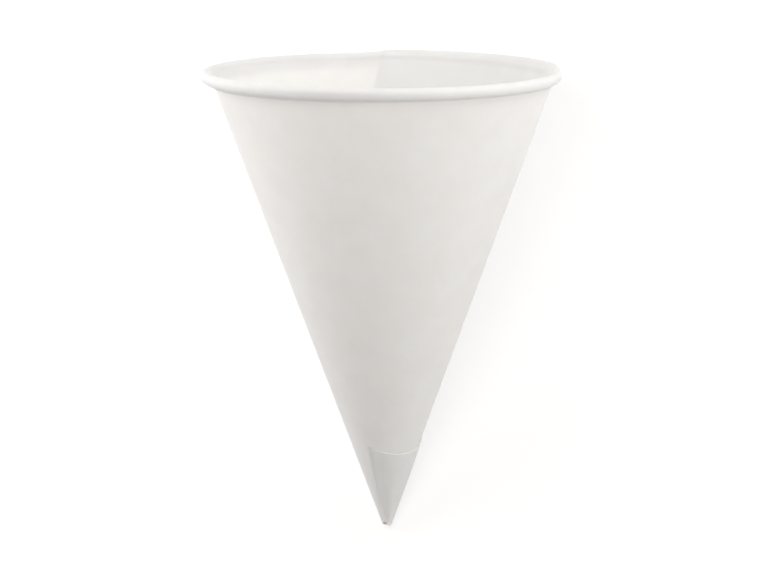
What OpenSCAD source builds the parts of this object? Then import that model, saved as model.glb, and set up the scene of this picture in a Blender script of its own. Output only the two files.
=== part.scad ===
// Cone paper cup: one sheet of paper wound into a cone, lapped down one side, rolled outwards at the
// rim, and drawn round the point as a short tail. The cup lies on its doubled side, mouth towards +Y.

/* [Cup] */
// Outside diameter over the rolled rim
rim_d = 73; // [66:0.5:82]
// Height along the axis, from the end of the tip to the top of the rim
cup_h = 93; // [84:0.5:104]
// Thickness of the paper
paper_t = 0.25; // [0.2:0.01:0.3]
// How far below the end of the tip the middle of the wall would come to a point
point_cut = 1.1; // [1:0.05:1.4]

/* [Rolled rim] */
// Outside diameter of the roll where the sheet is single
roll_d = 2.6; // [2.4:0.1:2.8]
// Radius of the bend that turns the wall inwards below the roll
neck_r = 2.5; // [2.2:0.1:3.2]
// Angle of that bend
neck_angle = 32; // [28:1:36]
// Angle below the level at which the roll stops turning and runs straight in towards the wall
roll_tuck = 60; // [55:1:65]
// Clear slot between the cut edge of the roll and the wall
roll_slot = 0.35; // [0.3:0.05:0.4]

/* [Side lap] */
// Angle over which the sheet lies double at the rim
lap_angle = 75; // [60:1:85]
// Slant of the inner edge as it runs down from the back of the rim
inner_slant = 20; // [15:1:24]
// Angle by which the inner edge has run on when it turns straight down to the tip
inner_run = 45; // [35:1:55]

/* [Tail at the tip] */
// Height of the tail's edge at its lowest point
tail_h = 15.4; // [12:0.2:20]
// Direction of that lowest point, turned from the front towards the lap
tail_turn = 22; // [14:1:30]
// Slope of the cut along the tail's edge
tail_slope = 29; // [24:1:34]
// Angle past the front at which the tail ends
tail_run = 32; // [20:1:45]
// Depth of the hollow that the tail leaves at the end of the tip
hollow_depth = 0.7; // [0.6:0.05:0.8]
// Height of the pressed paper that closes the point, above that hollow
plug_h = 1.3; // [1:0.1:2]

/* [Rest] */
// Direction round the cup that faces the floor, turned from the front towards the lap
rest_turn = 153; // [147:1:159]

/* [Hidden] */
$fn = 96;

// Longer than the cup in any direction, for the blocks that cut it
reach = 300;
// How far one layer is sunk into the next where they are pressed together
press = paper_t / 3;
// Steps along the bend of the neck and round the roll
neck_steps = 4;
roll_steps = 20;

// The roll in section: x is the distance from the axis and y the height
roll_r = roll_d / 2;
roll_at = [rim_d / 2 - roll_r, cup_h - roll_r];
neck_to_roll = neck_r + roll_r - paper_t / 2;
// The middle of the wall passes the centre of the roll at this distance
wall_pass = neck_to_roll * cos(neck_angle) - neck_r;
from_point = roll_at + [0, point_cut];
half_angle = atan2(from_point.x, from_point.y) - asin(wall_pass / norm(from_point));
neck_start = -half_angle;
neck_end = neck_angle - half_angle;
neck_at = roll_at - neck_to_roll * polar(neck_end);
// The roll runs from the neck over the top and out, then straight in to its cut edge under the rim
roll_start = neck_end + 180;
roll_end = -roll_tuck;
tuck_from_wall = wall_pass + (roll_r - paper_t) * cos(roll_end - neck_start);
tuck_run = (tuck_from_wall - paper_t / 2 - roll_slot) / sin(neck_start - roll_end);

// One layer's thickness measured straight out from the axis, halved evenly by the two centres
layer = 2 * fine(paper_t / cos(half_angle) / 2);

// Directions round the cup start at the front, -Y, and turn towards the right, +X
lap_edge = 180 - lap_angle;

// The lying cup touches the floor with the end of the tip and the doubled roll
tip_r = wall_r(0, paper_t / 2) + layer;
double_roll_r = roll_r + paper_t;
floor_from_tip = roll_at + [layer - tip_r, 0];
lie_angle = acos(-double_roll_r / norm(floor_from_tip)) - atan2(floor_from_tip.y, floor_from_tip.x);
lie_front = roll_at.y * cos(lie_angle) + (roll_at.x + layer) * sin(lie_angle) + double_roll_r;
lie_back = -tip_r * sin(lie_angle);

function polar(angle) = [cos(angle), sin(angle)];

// Rounded to a thousandth, so that sections which meet share their points
function fine(v) = is_list(v) ? [for (x = v) fine(x)] : round(1000 * v) / 1000;

function arc(centre, r, from, to, steps) =
    [for (i = [0:steps]) centre + r * polar(from + (to - from) * i / steps)];

// Distance from the axis of the surface that lies offset outside the middle of the wall, at height z
function wall_r(z, offset) = (z + point_cut) * tan(half_angle) + offset / cos(half_angle);

function wall_at(z, offset) = fine([wall_r(z, offset), z]);

// End of the roll's straight part, on the surface that turns round at distance r
function tuck_end(r) = roll_at + r * polar(roll_end) + tuck_run * polar(roll_end - 90);

// Top of the straight wall, below the neck
function wall_top(offset) = fine(neck_at + (neck_r + offset) * polar(neck_start));

// Sheet in section: wall, neck and roll on a given foot. extra is the paper laid on the inside of it, and
// sunk is how far the roll is pressed into itself
function sheet(foot, extra, sunk) = concat(
    foot,
    fine(arc(neck_at, neck_r + paper_t / 2, neck_start, neck_end, neck_steps)),
    fine(arc(roll_at, roll_r - paper_t - sunk, roll_start, roll_end, roll_steps)),
    fine([tuck_end(roll_r - paper_t - sunk), tuck_end(roll_r + extra)]),
    fine(arc(roll_at, roll_r + extra, roll_end, roll_start, roll_steps)),
    fine(arc(neck_at, neck_r - paper_t / 2 - extra, neck_end, neck_start, neck_steps))
);

// Turns an outline, moved outwards by shift, about the axis from one direction round the cup to another
module turned(from, to, outline, shift = 0) {
    rotate_extrude(angle = to - from, start = from - 90)
        polygon([for (p = outline) p + [shift, 0]]);
}

// The winding: half a turn, half a turn about an axis set back by half a layer, then the lap over the first
module wound_sheet() {
    single_foot = [wall_at(hollow_depth, -paper_t / 2), wall_at(hollow_depth, paper_t / 2)];
    double_foot = [
        wall_at(hollow_depth, -1.5 * paper_t),
        wall_at(hollow_depth, -paper_t / 2),
        wall_at(0, -paper_t / 2),
        wall_at(0, paper_t / 2)
    ];
    turned(0, lap_edge, sheet(single_foot, 0, 0));
    translate([0, layer / 2, 0]) turned(180, 360, sheet(single_foot, 0, 0), layer / 2);
    turned(lap_edge, 180, sheet(double_foot, paper_t, press), layer);
}

// The sheet's inner edge, which slants to the left below the rim and then runs straight down
module inner_edge() {
    difference() {
        turned(180, 180 + inner_run, [
            wall_at(hollow_depth, -paper_t / 2),
            wall_at(hollow_depth, paper_t / 2 + press),
            wall_top(paper_t / 2 + press),
            wall_top(-paper_t / 2)
        ]);
        translate([0, 0, wall_top(0).y]) rotate([0, inner_slant, 0])
            translate([-reach, -reach / 2, -reach]) cube([reach, reach, 2 * reach]);
    }
}

// The tail, drawn round the tip from the lap past the front, with its upper edge cut on a slope
module tail() {
    front_r = wall_r(tail_h, paper_t / 2) + layer;
    intersection() {
        turned(-tail_run, lap_edge, [
            wall_at(0, -paper_t / 2 - press),
            wall_at(0, paper_t / 2),
            wall_top(paper_t / 2),
            wall_top(-paper_t / 2 - press)
        ], layer);
        rotate([0, 0, tail_turn]) translate([0, -front_r, tail_h]) rotate([tail_slope, 0, 0])
            translate([-reach / 2, -reach / 2, -reach]) cube(reach);
    }
}

// Pressed paper that closes the point
module plug() {
    sink = 0.45 * paper_t;
    translate([0, 0, hollow_depth])
        cylinder(h = plug_h, r1 = wall_r(hollow_depth, sink), r2 = wall_r(hollow_depth + plug_h, sink));
}

module cone_cup() {
    color([0.93, 0.92, 0.90])
    translate([0, -(lie_front + lie_back) / 2, tip_r * cos(lie_angle)])
    rotate([lie_angle - 90, 0, 0]) rotate([0, 0, 180 - rest_turn]) {
        wound_sheet();
        inner_edge();
        tail();
        plug();
    }
}

cone_cup();
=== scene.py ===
# Cone paper cup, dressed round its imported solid. All lengths are in metres.

import math

import bmesh
import bpy
import numpy as np
from mathutils import Matrix, Vector


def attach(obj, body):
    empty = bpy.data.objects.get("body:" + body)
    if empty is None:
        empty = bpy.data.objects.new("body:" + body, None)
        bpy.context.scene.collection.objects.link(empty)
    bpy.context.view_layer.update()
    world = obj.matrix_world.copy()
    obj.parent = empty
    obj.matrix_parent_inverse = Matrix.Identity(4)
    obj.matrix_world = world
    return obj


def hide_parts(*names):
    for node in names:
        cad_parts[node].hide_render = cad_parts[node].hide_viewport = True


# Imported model
# The part's own solid fixes the place and the size of everything below. It lies on its doubled side,
# with the tip towards -Y and the mouth raised towards +Y.
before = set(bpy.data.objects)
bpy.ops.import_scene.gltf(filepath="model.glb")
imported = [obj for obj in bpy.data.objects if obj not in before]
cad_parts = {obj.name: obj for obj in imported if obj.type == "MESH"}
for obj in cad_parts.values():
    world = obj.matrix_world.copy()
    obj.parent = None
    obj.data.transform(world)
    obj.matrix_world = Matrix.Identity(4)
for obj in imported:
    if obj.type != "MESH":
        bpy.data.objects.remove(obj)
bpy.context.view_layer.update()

# Cup
# One sheet of lightly waxed white paper, cut flat and wound one and a fifth turns round its point, so that
# it lies double down one side. The rim is drawn in and rolled outwards, which locks the layers together,
# and the free corner of the sheet is drawn on round the tip as a short tail.
mm = 0.001
rim_d = 73 * mm
cup_h = 93 * mm
paper_t = 0.25 * mm
point_cut = 1.1 * mm
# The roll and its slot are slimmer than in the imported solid, as in the photograph
roll_d = 2.3 * mm
roll_slot = 0.15 * mm
neck_r = 2.5 * mm
neck_angle = math.radians(32)
roll_tuck = math.radians(60)
lap_angle = math.radians(75)
inner_slant = math.radians(20)
inner_run = math.radians(45)
tail_h = 15.4 * mm
tail_turn = math.radians(22)
tail_slope = math.radians(29)
tail_run = math.radians(32)
hollow_depth = 0.7 * mm
plug_h = 1.3 * mm
nick_depth = 0.95 * mm
nick_turn = math.radians(195)
nick_half_width = math.radians(45)
rest_turn = math.radians(153)

# The section of the sheet: a straight wall, a neck that bends inwards, a roll that turns out and under, and
# a short straight end that is tucked in towards the wall
roll_r = roll_d / 2
roll_mid_r = roll_r - paper_t / 2
roll_at = Vector((rim_d / 2 - roll_r, cup_h - roll_r))
neck_to_roll = neck_r + roll_mid_r
wall_pass = neck_to_roll * math.cos(neck_angle) - neck_r
from_point = roll_at + Vector((0, point_cut))
half_angle = math.atan2(from_point.x, from_point.y) - math.asin(wall_pass / from_point.length)
neck_end = neck_angle - half_angle
neck_at = roll_at - neck_to_roll * Vector((math.cos(neck_end), math.sin(neck_end)))
roll_sweep = neck_end + math.pi + roll_tuck
rim_rise = neck_r * (math.sin(neck_end) + math.sin(half_angle)) + roll_mid_r * (math.sin(neck_end) + 1)
tuck_from_wall = wall_pass + roll_mid_r * math.cos(roll_tuck - half_angle)
tuck_run = (tuck_from_wall - paper_t - roll_slot) / math.sin(roll_tuck - half_angle)
wall_top = neck_at + neck_r * Vector((math.cos(half_angle), -math.sin(half_angle)))
wall_run = math.hypot(wall_top.x, wall_top.y + point_cut)
neck_run = neck_r * neck_angle
roll_run = roll_mid_r * roll_sweep
layer = paper_t / math.cos(half_angle)

# The flat blank. A point is at a run from the sheet's point and at a turn round the cup. Turns count from
# the back, where the sheet starts at the rim, and pass the right side, the front and the left side.
turn = 2 * math.pi
inner_turn = -inner_run
lap_turn = turn + lap_angle
tail_end_turn = turn + math.pi + tail_run
middle_turn = (inner_turn + tail_end_turn) / 2
taper = math.tan(half_angle)


def run_at(height):
    """Run along the wall from the sheet's point up to a height above the end of the tip."""
    return (height + point_cut) / math.cos(half_angle)


def inner_edge_height(w):
    """Height of the slanted inner edge, which leaves the rim at the back and drops to the left."""
    across = taper * np.sin(-w)
    drop = math.tan(inner_slant)
    return (wall_top.y * drop - point_cut * across) / (across + drop)


def tail_edge_height(w):
    """Height of the tail's upper edge, cut by a plane that slopes up from the front."""
    outside = point_cut * taper + paper_t / 2 / math.cos(half_angle) + layer
    front_r = outside + tail_h * taper
    facing = np.cos(math.pi - w - tail_turn)
    rise = math.tan(tail_slope)
    return (tail_h + (front_r - outside * facing) * rise) / (1 + taper * facing * rise)


def foot_height(w):
    """Height of the sheet's lower edge, which winds down to the lap and has a nick in front."""
    wound_down = np.clip(w / math.pi - 1, 0, 1)
    slant = hollow_depth * (1 - wound_down**2 * (3 - 2 * wound_down))
    from_nick = np.abs((w - nick_turn + math.pi) % turn - math.pi) / nick_half_width
    nick = np.cos(np.minimum(from_nick, 1) * math.pi / 2)
    return np.maximum(slant, nick_depth * nick**2)


tip_rows = 18
wall_rows = 36
neck_rows = 6
roll_rows = 32
tuck_rows = 6
column_step = math.radians(1.5)
columns = round((lap_turn - inner_turn) / column_step)
tail_columns = round((tail_end_turn - lap_turn) / column_step)
main_turns = np.linspace(inner_turn, lap_turn, columns + 1)
tail_turns = np.linspace(lap_turn, tail_end_turn, tail_columns + 1)[1:]
tip_share = np.linspace(0, 1, tip_rows + 1)
wall_share = np.linspace(0, 1, wall_rows + 1)[1:]
rim_runs = np.concatenate([
    wall_run + neck_run * np.linspace(0, 1, neck_rows + 1)[1:],
    wall_run + neck_run + roll_run * np.linspace(0, 1, roll_rows + 1)[1:],
    wall_run + neck_run + roll_run + tuck_run * np.linspace(0, 1, tuck_rows + 1)[1:],
])
split_run = run_at(tail_edge_height(lap_turn))
points = []
rows_of = []
for w in np.concatenate([main_turns, tail_turns]):
    foot = run_at(float(foot_height(w)))
    if w > lap_turn + column_step / 2:
        runs = foot + (run_at(tail_edge_height(w)) - foot) * tip_share
    elif w < -column_step / 2:
        lower = foot + (split_run - foot) * tip_share
        runs = np.concatenate([lower, split_run + (run_at(inner_edge_height(w)) - split_run) * wall_share])
    else:
        lower = foot + (split_run - foot) * tip_share
        runs = np.concatenate([lower, split_run + (wall_run - split_run) * wall_share, rim_runs])
    rows_of.append(range(len(points), len(points) + len(runs)))
    points.extend((w, s) for s in runs)
points = np.array(points)
quads = []
for left, right in zip(rows_of, rows_of[1:]):
    for row in range(min(len(left), len(right)) - 1):
        quads.append((left[row], left[row + 1], right[row + 1], right[row]))
fan = (points[:, 0] - middle_turn) * math.sin(half_angle)
flat = np.stack([points[:, 1] * np.cos(fan), points[:, 1] * np.sin(fan), np.zeros(len(points))], 1)

# Distance on the flat sheet to the free edge of the lap and the tail, where the paper is pressed down
lap_side = [rows_of[columns][row] for row in range(tip_rows, len(rows_of[columns]))]
tail_top = [rows[tip_rows] for rows in rows_of[columns + 1:]]
tail_side = list(rows_of[-1])
free_edge = flat[lap_side + tail_top + tail_side]
edge_gap = np.array([np.sqrt(((free_edge - p) ** 2).sum(1).min()) for p in flat])

blank = bpy.data.meshes.new("paper_blank")
blank.from_pydata(flat.tolist(), [], quads)
blank.attributes.new("edge_gap", "FLOAT", "POINT").data.foreach_set("value", edge_gap)
uv_per_metre = 10
sheet_uv = blank.uv_layers.new(name="flat_sheet")
for loop in blank.loops:
    sheet_uv.data[loop.index].uv = flat[loop.vertex_index, :2] * uv_per_metre
cup = bpy.data.objects.new("cone_cup_paper", blank)
bpy.context.scene.collection.objects.link(cup)

# The paper: even warm white with the faint clouds of its formation, fine fibres along the web and a soft
# wax sheen
paper = bpy.data.materials.new("waxed_white_paper")
paper.use_nodes = True
knots = paper.node_tree.nodes
knots.clear()
ties = paper.node_tree.links


def knot(kind, **settings):
    """One node of the paper, with its settings."""
    made = knots.new(kind)
    for name, value in settings.items():
        setattr(made, name, value)
    return made


sheet_place = knot("ShaderNodeUVMap", uv_map="flat_sheet")
cloud = knot("ShaderNodeTexNoise")
cloud.inputs["Scale"].default_value = 16
cloud.inputs["Detail"].default_value = 3
ties.new(sheet_place.outputs["UV"], cloud.inputs["Vector"])
tint = knot("ShaderNodeMix", data_type="RGBA")
tint.inputs["A"].default_value = (0.88, 0.866, 0.847, 1)
tint.inputs["B"].default_value = (0.95, 0.942, 0.928, 1)
ties.new(cloud.outputs["Fac"], tint.inputs["Factor"])
along_web = knot("ShaderNodeMapping")
along_web.inputs["Scale"].default_value = (60, 420, 1)
ties.new(sheet_place.outputs["UV"], along_web.inputs["Vector"])
fibre = knot("ShaderNodeTexNoise")
fibre.inputs["Scale"].default_value = 1
fibre.inputs["Detail"].default_value = 4
ties.new(along_web.outputs["Vector"], fibre.inputs["Vector"])
tooth = knot("ShaderNodeBump")
tooth.inputs["Strength"].default_value = 0.15
tooth.inputs["Distance"].default_value = 0.03 * mm
ties.new(fibre.outputs["Fac"], tooth.inputs["Height"])
sheen = knot("ShaderNodeMapRange")
sheen.inputs["To Min"].default_value = 0.5
sheen.inputs["To Max"].default_value = 0.66
ties.new(fibre.outputs["Fac"], sheen.inputs["Value"])
skin = knot("ShaderNodeBsdfPrincipled")
skin.inputs["Specular IOR Level"].default_value = 0.3
skin.inputs["Subsurface Weight"].default_value = 1
skin.inputs["Subsurface Radius"].default_value = (1, 0.95, 0.9)
skin.inputs["Subsurface Scale"].default_value = 0.26 * mm
ties.new(tint.outputs["Result"], skin.inputs["Base Color"])
ties.new(sheen.outputs["Result"], skin.inputs["Roughness"])
ties.new(tooth.outputs["Normal"], skin.inputs["Normal"])
paper_out = knot("ShaderNodeOutputMaterial")
ties.new(skin.outputs["BSDF"], paper_out.inputs["Surface"])

# The winding, which takes each point of the flat blank to its place on the cup
winding = bpy.data.node_groups.new("wind_the_blank", "GeometryNodeTree")
winding.is_modifier = True
winding.interface.new_socket("Blank", in_out="INPUT", socket_type="NodeSocketGeometry")
winding.interface.new_socket("Cup", in_out="OUTPUT", socket_type="NodeSocketGeometry")
winding_sizes = {
    "Half Angle": half_angle,
    "Middle Turn": middle_turn,
    "Point Cut": point_cut,
    "Wall Run": wall_run,
    "Neck Run": neck_run,
    "Neck Radius": neck_r,
    "Neck Angle": neck_angle,
    "Roll Run": roll_run,
    "Roll Radius": roll_mid_r,
    "Roll Tuck": roll_tuck,
    "Roll Slot": roll_slot,
    "Front Drop": 0.4,
    "Front Tuck": math.radians(10),
    "Front Slope": math.radians(9),
    "Tuck Run": tuck_run,
    "Rim Rise": rim_rise,
    "Neck Uneven": 0.42,
    "Neck Ease": 0.4,
    "Rim Tilt": 0.28 * mm,
    "Paper Thickness": paper_t,
    "Layer": layer,
    "Lap Angle": lap_angle,
    "Lap Fade": math.radians(12),
    "Seam Rise": 0.35 * mm,
    "Edge Press": 0.04 * mm,
    "Press Reach": 3.5 * mm,
    "Tail Slack": 0.22 * mm,
    "Ridge Height": 0.3 * mm,
    "End Sink": 0.5 * layer,
    "Wave Height": 0.12 * mm,
    "Wave Length": 30 * mm,
    "Seed": 4.0,
}
for name, size in winding_sizes.items():
    winding.interface.new_socket(name, in_out="INPUT", socket_type="NodeSocketFloat").default_value = size
winding.interface.new_socket("Paper", in_out="INPUT", socket_type="NodeSocketMaterial")
given = winding.nodes.new("NodeGroupInput").outputs


class Reading:
    """One number in the winding, so that its rules read as sums."""

    def __init__(self, socket):
        self.socket = socket

    def __add__(self, other):
        return reckon("ADD", self, other)

    def __sub__(self, other):
        return reckon("SUBTRACT", self, other)

    def __mul__(self, other):
        return reckon("MULTIPLY", self, other)

    def __truediv__(self, other):
        return reckon("DIVIDE", self, other)


def feed(term, socket):
    """Leads a reading to a socket, or sets a plain number on it."""
    if isinstance(term, Reading):
        winding.links.new(term.socket, socket)
    else:
        socket.default_value = term


def reckon(operation, *terms):
    """One step of arithmetic."""
    step = winding.nodes.new("ShaderNodeMath")
    step.operation = operation
    for term, socket in zip(terms, step.inputs):
        feed(term, socket)
    return Reading(step.outputs[0])


def between(value, low, high):
    """The value, kept between two others."""
    return reckon("MINIMUM", reckon("MAXIMUM", value, low), high)


def ease(value, start, end):
    """Climbs smoothly from 0 to 1 as the value goes from start to end."""
    climb = winding.nodes.new("ShaderNodeMapRange")
    climb.interpolation_type = "SMOOTHSTEP"
    for term, name in ((value, "Value"), (start, "From Min"), (end, "From Max")):
        feed(term, climb.inputs[name])
    return Reading(climb.outputs["Result"])


def sine(angle):
    """Sine of an angle in radians."""
    return reckon("SINE", angle)


def cosine(angle):
    """Cosine of an angle in radians."""
    return reckon("COSINE", angle)


half, neck_bend, paper_gap = (Reading(given[n]) for n in ("Half Angle", "Neck Angle", "Paper Thickness"))
place = winding.nodes.new("ShaderNodeSeparateXYZ")
winding.links.new(winding.nodes.new("GeometryNodeInputPosition").outputs[0], place.inputs[0])
flat_x, flat_y = Reading(place.outputs["X"]), Reading(place.outputs["Y"])
run = reckon("SQRT", flat_x * flat_x + flat_y * flat_y)
wound = reckon("ARCTAN2", flat_y, flat_x) / sine(half) + Reading(given["Middle Turn"])

# Each turn after the first half climbs by one layer over the sheet below it
first_climb = cosine(between(wound - math.pi, 0.0, math.pi)) * -0.5 + 0.5
second_climb = cosine(between(wound - 3 * math.pi, 0.0, math.pi)) * -0.5 + 0.5
climb = (first_climb + second_climb) * Reading(given["Layer"])

# The rim is not rolled quite evenly: the neck bends less on the left and at the back
uneven = sine(wound) * Reading(given["Neck Uneven"])
eased = (cosine(wound) * 0.5 + 0.5) * Reading(given["Neck Ease"])
bend = neck_bend * (uneven - eased + 1.0)
even_neck = Reading(given["Neck Radius"])
even_roll = Reading(given["Roll Radius"])

# Under the lap the inner layer has a smaller neck and a larger roll, and it fades to single past the lap
lap = Reading(given["Lap Angle"])
doubled = reckon("SUBTRACT", 1.0, ease(wound, lap, lap + Reading(given["Lap Fade"])))
neck = even_neck - paper_gap * doubled
roll = even_roll + paper_gap * doubled

# The rim steps up at the seam, where the roll takes in a second layer, and is level elsewhere. These angles
# count from the left side.
seam_foot, seam_top = math.radians(81), math.radians(92)
seam_fade, seam_level = math.radians(160), math.radians(205)
round_from_left = reckon("FLOORED_MODULO", wound + math.pi / 2, turn)
seam_start = ease(round_from_left, seam_foot, seam_top)
seam_end = ease(round_from_left, seam_fade, seam_level)
seam = seam_start * reckon("SUBTRACT", 1.0, seam_end) * Reading(given["Seam Rise"])
neck_lean = bend - half
rise = even_neck * (sine(neck_lean) + sine(half)) + even_roll * (sine(neck_lean) + 1.0)
level = (Reading(given["Rim Rise"]) - rise) / cosine(half) - sine(wound) * Reading(given["Rim Tilt"])

wall_length = Reading(given["Wall Run"])
longer = paper_gap * reckon("TANGENT", half) * doubled + seam + level
on_wall = reckon("MINIMUM", run, wall_length) * ((wall_length + longer) / wall_length)
past_wall = run - wall_length
neck_length = Reading(given["Neck Run"])
bent = between(past_wall / neck_length, 0.0, 1.0) * bend
past_neck = past_wall - neck_length
roll_length = Reading(given["Roll Run"])

# The roll is pressed flatter at the front: it hangs lower there and is tucked in more squarely
in_front = cosine(wound) * -0.5 + 0.5
flattened = in_front * in_front
drop = flattened * Reading(given["Front Drop"])
tuck_angle = Reading(given["Roll Tuck"]) - flattened * Reading(given["Front Tuck"])
tuck_slope = Reading(given["Roll Tuck"]) + flattened * Reading(given["Front Slope"])
rolled = between(past_neck / roll_length, 0.0, 1.0) * (neck_lean + tuck_angle + math.pi)
over_the_top = 0.6 * math.pi
past_top = reckon("GREATER_THAN", rolled, over_the_top)
hung = past_top * reckon("MAXIMUM", sine(neck_lean - rolled), 0.0) * drop
tuck_out = cosine(tuck_angle) * cosine(half) + (drop + 1.0) * sine(tuck_angle) * sine(half)
from_wall = (even_neck + even_roll) * cosine(bend) - even_neck + even_roll * tuck_out
tuck_length = (from_wall - paper_gap - Reading(given["Roll Slot"])) / sine(tuck_slope - half)
tucked = reckon("MAXIMUM", past_neck - roll_length, 0.0) / Reading(given["Tuck Run"]) * tuck_length
out = (
    on_wall * sine(half)
    + neck * (cosine(bent - half) - cosine(half))
    + roll * (cosine(neck_lean) - cosine(neck_lean - rolled))
    - tucked * sine(tuck_slope)
)
up = (
    on_wall * cosine(half)
    - Reading(given["Point Cut"])
    + neck * (sine(bent - half) + sine(half))
    + roll * (sine(neck_lean) - sine(neck_lean - rolled) - hung)
    - tucked * cosine(tuck_slope)
)

# The free edge is pressed down a little
gap_to_edge = winding.nodes.new("GeometryNodeInputNamedAttribute")
gap_to_edge.data_type = "FLOAT"
gap_to_edge.inputs["Name"].default_value = "edge_gap"
near_edge = ease(Reading(gap_to_edge.outputs["Attribute"]), Reading(given["Press Reach"]), 0.0)
press = near_edge * near_edge * Reading(given["Edge Press"])

# The tail lies loose on the right of the tip, and its end is pressed down into the sheet below
slack_start, slack_full = lap_turn - math.radians(30), lap_turn + math.radians(20)
slack_fade = tail_end_turn - math.radians(60)
slack_top_h, slack_full_h = 20 * mm, 11 * mm
press_start = tail_end_turn - math.radians(16)
loosened = ease(wound, slack_start, slack_full)
tightened = ease(wound, tail_end_turn, slack_fade)
at_tip = ease(run, run_at(slack_top_h), run_at(slack_full_h))
pressed = ease(wound, press_start, tail_end_turn) * Reading(given["End Sink"])
slack = loosened * tightened * at_tip * Reading(given["Tail Slack"]) - pressed

# The point is pinched to a faint ridge a little to the right of the front
ridge_turn = math.radians(168)
ridge_sharpness = 12.0
ridge_top_h, ridge_full_h = 15 * mm, 6 * mm
to_ridge = reckon("MAXIMUM", cosine(wound - ridge_turn), 0.0)
pinched = ease(run, run_at(ridge_top_h), run_at(ridge_full_h))
ridge = reckon("POWER", to_ridge, ridge_sharpness) * pinched * Reading(given["Ridge Height"])


def at_round(distance, height):
    """A point at a distance from the cup's axis, in the direction that the winding has reached."""
    point = winding.nodes.new("ShaderNodeCombineXYZ")
    for term, name in ((distance * sine(wound), "X"), (distance * cosine(wound), "Y"), (height, "Z")):
        feed(term, point.inputs[name])
    return point.outputs[0]


# The whole wall is not quite true. The waves fade out towards the tip.
wave_fade = 30 * mm
wave = winding.nodes.new("ShaderNodeTexNoise")
wave.noise_dimensions = "4D"
wave.inputs["Detail"].default_value = 1
winding.links.new(at_round(out, up), wave.inputs["Vector"])
feed(Reading(given["Seed"]), wave.inputs["W"])
feed(reckon("DIVIDE", 1.0, Reading(given["Wave Length"])), wave.inputs["Scale"])
untrue = (Reading(wave.outputs[0]) - 0.5) * 2.0 * Reading(given["Wave Height"]) * ease(run, 0.0, wave_fade)

move = winding.nodes.new("GeometryNodeSetPosition")
winding.links.new(given["Blank"], move.inputs["Geometry"])
winding.links.new(at_round(out + climb - press + slack + ridge + untrue, up), move.inputs["Position"])
whole = winding.nodes.new("GeometryNodeRealizeInstances")
winding.links.new(move.outputs[0], whole.inputs[0])
coat = winding.nodes.new("GeometryNodeSetMaterial")
winding.links.new(whole.outputs[0], coat.inputs["Geometry"])
winding.links.new(given["Paper"], coat.inputs["Material"])
wound_cup = winding.nodes.new("NodeGroupOutput")
winding.links.new(coat.outputs[0], wound_cup.inputs["Cup"])

wind = cup.modifiers.new("wind", "NODES")
wind.node_group = winding
for item in winding.interface.items_tree:
    if item.in_out == "INPUT" and item.name in winding_sizes:
        wind[item.identifier] = winding_sizes[item.name]
    elif item.in_out == "INPUT" and item.name == "Paper":
        wind[item.identifier] = paper

# The sheet is a little thinner than the step from layer to layer, which keeps the layers apart
sheet_t = 0.88 * paper_t
thicken = cup.modifiers.new("thicken", "SOLIDIFY")
thicken.thickness = sheet_t
thicken.offset = 0
thicken.use_quality_normals = True

depsgraph = bpy.context.evaluated_depsgraph_get()
made_cup = bpy.data.meshes.new_from_object(cup.evaluated_get(depsgraph), depsgraph=depsgraph)
cup.modifiers.clear()
cup.data = made_cup

# The pressed point that closes the tip, a little hollow at its end. Each ring has its share of the wall's
# radius and of the plug's height.
plug_sides = 40
plug_rings = [(0, 0.8), (0.4, 0.75), (0.75, 0.6), (1, 0.45), (1, 0.7), (1, 1.2), (0.6, 1.35), (0, 1.4)]
shell = bmesh.new()
shell.from_mesh(made_cup)
rings = []
for share, level in plug_rings:
    height = hollow_depth + plug_h * level
    edge_r = (height + point_cut) * taper
    if share == 0:
        rings.append([shell.verts.new((0, 0, height))])
        continue
    ring_r = share * edge_r
    around = [i * turn / plug_sides for i in range(plug_sides)]
    places = [(ring_r * math.sin(a), ring_r * math.cos(a), height) for a in around]
    rings.append([shell.verts.new(place) for place in places])
for lower, upper in zip(rings, rings[1:]):
    for i in range(plug_sides):
        k = (i + 1) % plug_sides
        below = [lower[i % len(lower)], lower[k % len(lower)]]
        above = [upper[k % len(upper)], upper[i % len(upper)]]
        corners = below + above
        shell.faces.new(list(dict.fromkeys(corners))[::-1])
shell.to_mesh(made_cup)
shell.free()

# The lying place: the end of the tip and the doubled roll touch the floor
tip_r = point_cut * taper + paper_t / 2 / math.cos(half_angle) + layer
double_roll_r = roll_r + paper_t
floor_from_tip = roll_at + Vector((layer - tip_r, 0))
tip_to_roll = math.atan2(floor_from_tip.y, floor_from_tip.x)
lie_angle = math.acos(-double_roll_r / floor_from_tip.length) - tip_to_roll
lie_front = roll_at.y * math.cos(lie_angle) + (roll_at.x + layer) * math.sin(lie_angle) + double_roll_r
lie_back = -tip_r * math.sin(lie_angle)
lie = (
    Matrix.Translation((0, -(lie_front + lie_back) / 2, tip_r * math.cos(lie_angle)))
    @ Matrix.Rotation(lie_angle - math.pi / 2, 4, "X")
    @ Matrix.Rotation(math.pi - rest_turn, 4, "Z")
)
made_cup.transform(lie)
made_cup.transform(Matrix.Translation((0, 0, -min(v.co.z for v in made_cup.vertices))))
crease_angle = math.radians(40)
for face in made_cup.polygons:
    face.use_smooth = True
made_cup.set_sharp_from_angle(angle=crease_angle)
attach(cup, "root")
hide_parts("cone_cup")

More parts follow.
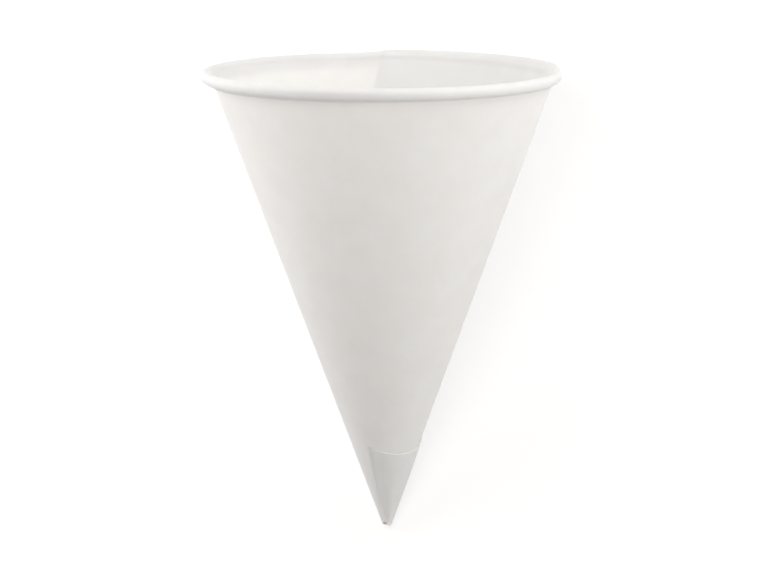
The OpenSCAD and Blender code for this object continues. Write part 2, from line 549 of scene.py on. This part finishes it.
# Camera
# It looks at the front of the cup from a little above the plane of the rim, as the photograph does, and so
# down on the lying cup. The rim is 73 mm wide and fills 360 of the picture's 768 pixels.
picture_width = 768
pixels_per_metre = 4930
view_rise = math.radians(5.9)
view_roll = math.radians(-0.4)
view_distance = 3
rim_centre = Vector((0, 0, roll_at.y))
eye = rim_centre + view_distance * Vector((0, -math.cos(view_rise), math.sin(view_rise)))
aim = Vector((-0.2 * mm, 0, 48.6 * mm))
camera = bpy.data.objects.new("camera", bpy.data.cameras.new("camera"))
camera.data.lens = camera.data.sensor_width * pixels_per_metre * view_distance / picture_width
towards_eye = (eye - aim).normalized()
sideways = Vector((0, 0, 1)).cross(towards_eye).normalized()
upwards = towards_eye.cross(sideways)
straight_view = Matrix((sideways, upwards, towards_eye)).transposed().to_4x4()
view = straight_view @ Matrix.Rotation(view_roll, 4, "Z")
camera.matrix_world = lie @ Matrix.Translation(eye) @ view
bpy.context.scene.collection.objects.link(camera)
bpy.context.scene.camera = camera

# Floor
# A wide white table top under the cup. The camera sees it near white, and it keeps the cup's soft shadow.
# To the cup it is plain white card.
floor_r = 3
floor_sides = 64
floor_angles = [i * turn / floor_sides for i in range(floor_sides)]
floor_edge = [(floor_r * math.cos(a), floor_r * math.sin(a), 0) for a in floor_angles]
floor_mesh = bpy.data.meshes.new("floor")
floor_mesh.from_pydata(floor_edge, [], [tuple(range(floor_sides))])
floor = bpy.data.objects.new("floor", floor_mesh)
bpy.context.scene.collection.objects.link(floor)
table_white = bpy.data.materials.new("white_table")
table_white.use_nodes = True
table_nodes = table_white.node_tree.nodes
table_links = table_white.node_tree.links
table_nodes.clear()
lit = table_nodes.new("ShaderNodeBsdfDiffuse")
lit.inputs["Color"].default_value = (0.85, 0.85, 0.85, 1)
seen = table_nodes.new("ShaderNodeBsdfDiffuse")
seen.inputs["Color"].default_value = (0.5, 0.5, 0.5, 1)
glow = table_nodes.new("ShaderNodeEmission")
glow.inputs["Color"].default_value = (1, 1, 1, 1)
glow.inputs["Strength"].default_value = 0.62
both = table_nodes.new("ShaderNodeAddShader")
pick = table_nodes.new("ShaderNodeMixShader")
table_out = table_nodes.new("ShaderNodeOutputMaterial")


def in_sight(tree):
    """1 on rays that show the surface, straight, mirrored or let through, and 0 on all others."""
    path = tree.nodes.new("ShaderNodeLightPath")
    straight_or_mirrored = tree.nodes.new("ShaderNodeMath")
    straight_or_mirrored.operation = "MAXIMUM"
    any_sight = tree.nodes.new("ShaderNodeMath")
    any_sight.operation = "MAXIMUM"
    tree.links.new(path.outputs["Is Camera Ray"], straight_or_mirrored.inputs[0])
    tree.links.new(path.outputs["Is Glossy Ray"], straight_or_mirrored.inputs[1])
    tree.links.new(straight_or_mirrored.outputs[0], any_sight.inputs[0])
    tree.links.new(path.outputs["Is Transmission Ray"], any_sight.inputs[1])
    return any_sight.outputs[0]


table_links.new(seen.outputs[0], both.inputs[0])
table_links.new(glow.outputs[0], both.inputs[1])
table_links.new(in_sight(table_white.node_tree), pick.inputs["Fac"])
table_links.new(lit.outputs[0], pick.inputs[1])
table_links.new(both.outputs[0], pick.inputs[2])
table_links.new(pick.outputs[0], table_out.inputs["Surface"])
floor_mesh.materials.append(table_white)

# Light
# Soft lamps stand on the left, in front and on the right near the mouth, so that the sides are brighter than
# the front and the light falls off towards the tip. One more shines into the mouth, and the room adds an
# even fill.
lamp_aim_h = 0.6 * cup_h


def lamp(name, bearing, above, distance, size, watts):
    """A square soft lamp that faces the cup, placed by its bearing from the camera's side of the cup."""
    made = bpy.data.objects.new(name, bpy.data.lights.new(name, "AREA"))
    made.data.size = size
    made.data.energy = watts
    target = lie @ Vector((0, 0, lamp_aim_h))
    axes = (lie @ view).to_3x3()
    angle = math.radians(bearing)
    made.location = target + axes @ Vector((distance * math.sin(angle), above, distance * math.cos(angle)))
    made.rotation_mode = "QUATERNION"
    made.rotation_quaternion = (target - made.location).to_track_quat("-Z", "Y")
    bpy.context.scene.collection.objects.link(made)


lamp("lamp_left", bearing=-95, above=0.05, distance=0.2, size=0.12, watts=0.12)
lamp("lamp_rim_left", bearing=-80, above=0.12, distance=0.13, size=0.1, watts=0.038)
lamp("lamp_front", bearing=-20, above=0.1, distance=0.2, size=0.12, watts=0.085)
lamp("lamp_right", bearing=62, above=0.2, distance=0.22, size=0.1, watts=0.187)
lamp("lamp_low_right", bearing=48, above=0.02, distance=0.22, size=0.1, watts=0.078)
lamp("lamp_mouth", bearing=0, above=0.3, distance=0.12, size=0.12, watts=0.036)

world = bpy.data.worlds.new("room")
bpy.context.scene.world = world
world.use_nodes = True
room_nodes = world.node_tree.nodes
room_links = world.node_tree.links
room_nodes.clear()
fill = room_nodes.new("ShaderNodeBackground")
fill.inputs["Color"].default_value = (1, 0.965, 0.935, 1)
fill.inputs["Strength"].default_value = 0.49
backdrop = room_nodes.new("ShaderNodeBackground")
backdrop.inputs["Color"].default_value = (1, 1, 1, 1)
backdrop.inputs["Strength"].default_value = 1
choose = room_nodes.new("ShaderNodeMixShader")
room_out = room_nodes.new("ShaderNodeOutputWorld")
room_links.new(in_sight(world.node_tree), choose.inputs["Fac"])
room_links.new(fill.outputs[0], choose.inputs[1])
room_links.new(backdrop.outputs[0], choose.inputs[2])
room_links.new(choose.outputs[0], room_out.inputs["Surface"])
bpy.context.scene.view_settings.view_transform = "Standard"
